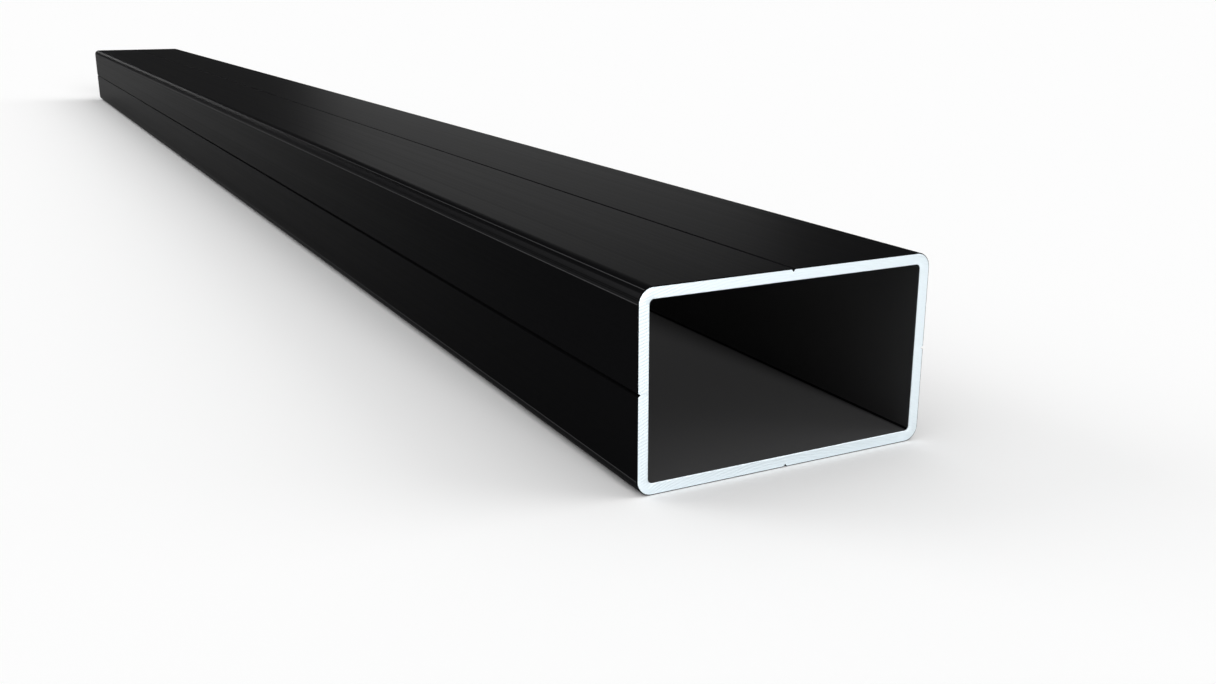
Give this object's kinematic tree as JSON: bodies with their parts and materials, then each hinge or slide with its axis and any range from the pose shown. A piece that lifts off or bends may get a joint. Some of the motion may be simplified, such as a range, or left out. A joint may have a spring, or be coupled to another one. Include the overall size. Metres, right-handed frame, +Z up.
{
  "type": "rectangular metal tube",
  "caption": "Straight rectangular hollow section with thin walls, rounded corners, a V centre-mark groove along each face and both ends sawn square.",
  "frame": {"origin": "under the middle of the tube, on the level of the wide face that it lies on", "axes": "+X along the tube, +Y across its width, +Z up through its height"},
  "size_m": [0.7, 0.05, 0.03],
  "materials": {
    "tube": "black anodised, satin, with bare sawn ends"
  },
  "bodies": {
    "root": {"rectangular_tube": "tube"}
  },
  "joints": []
}
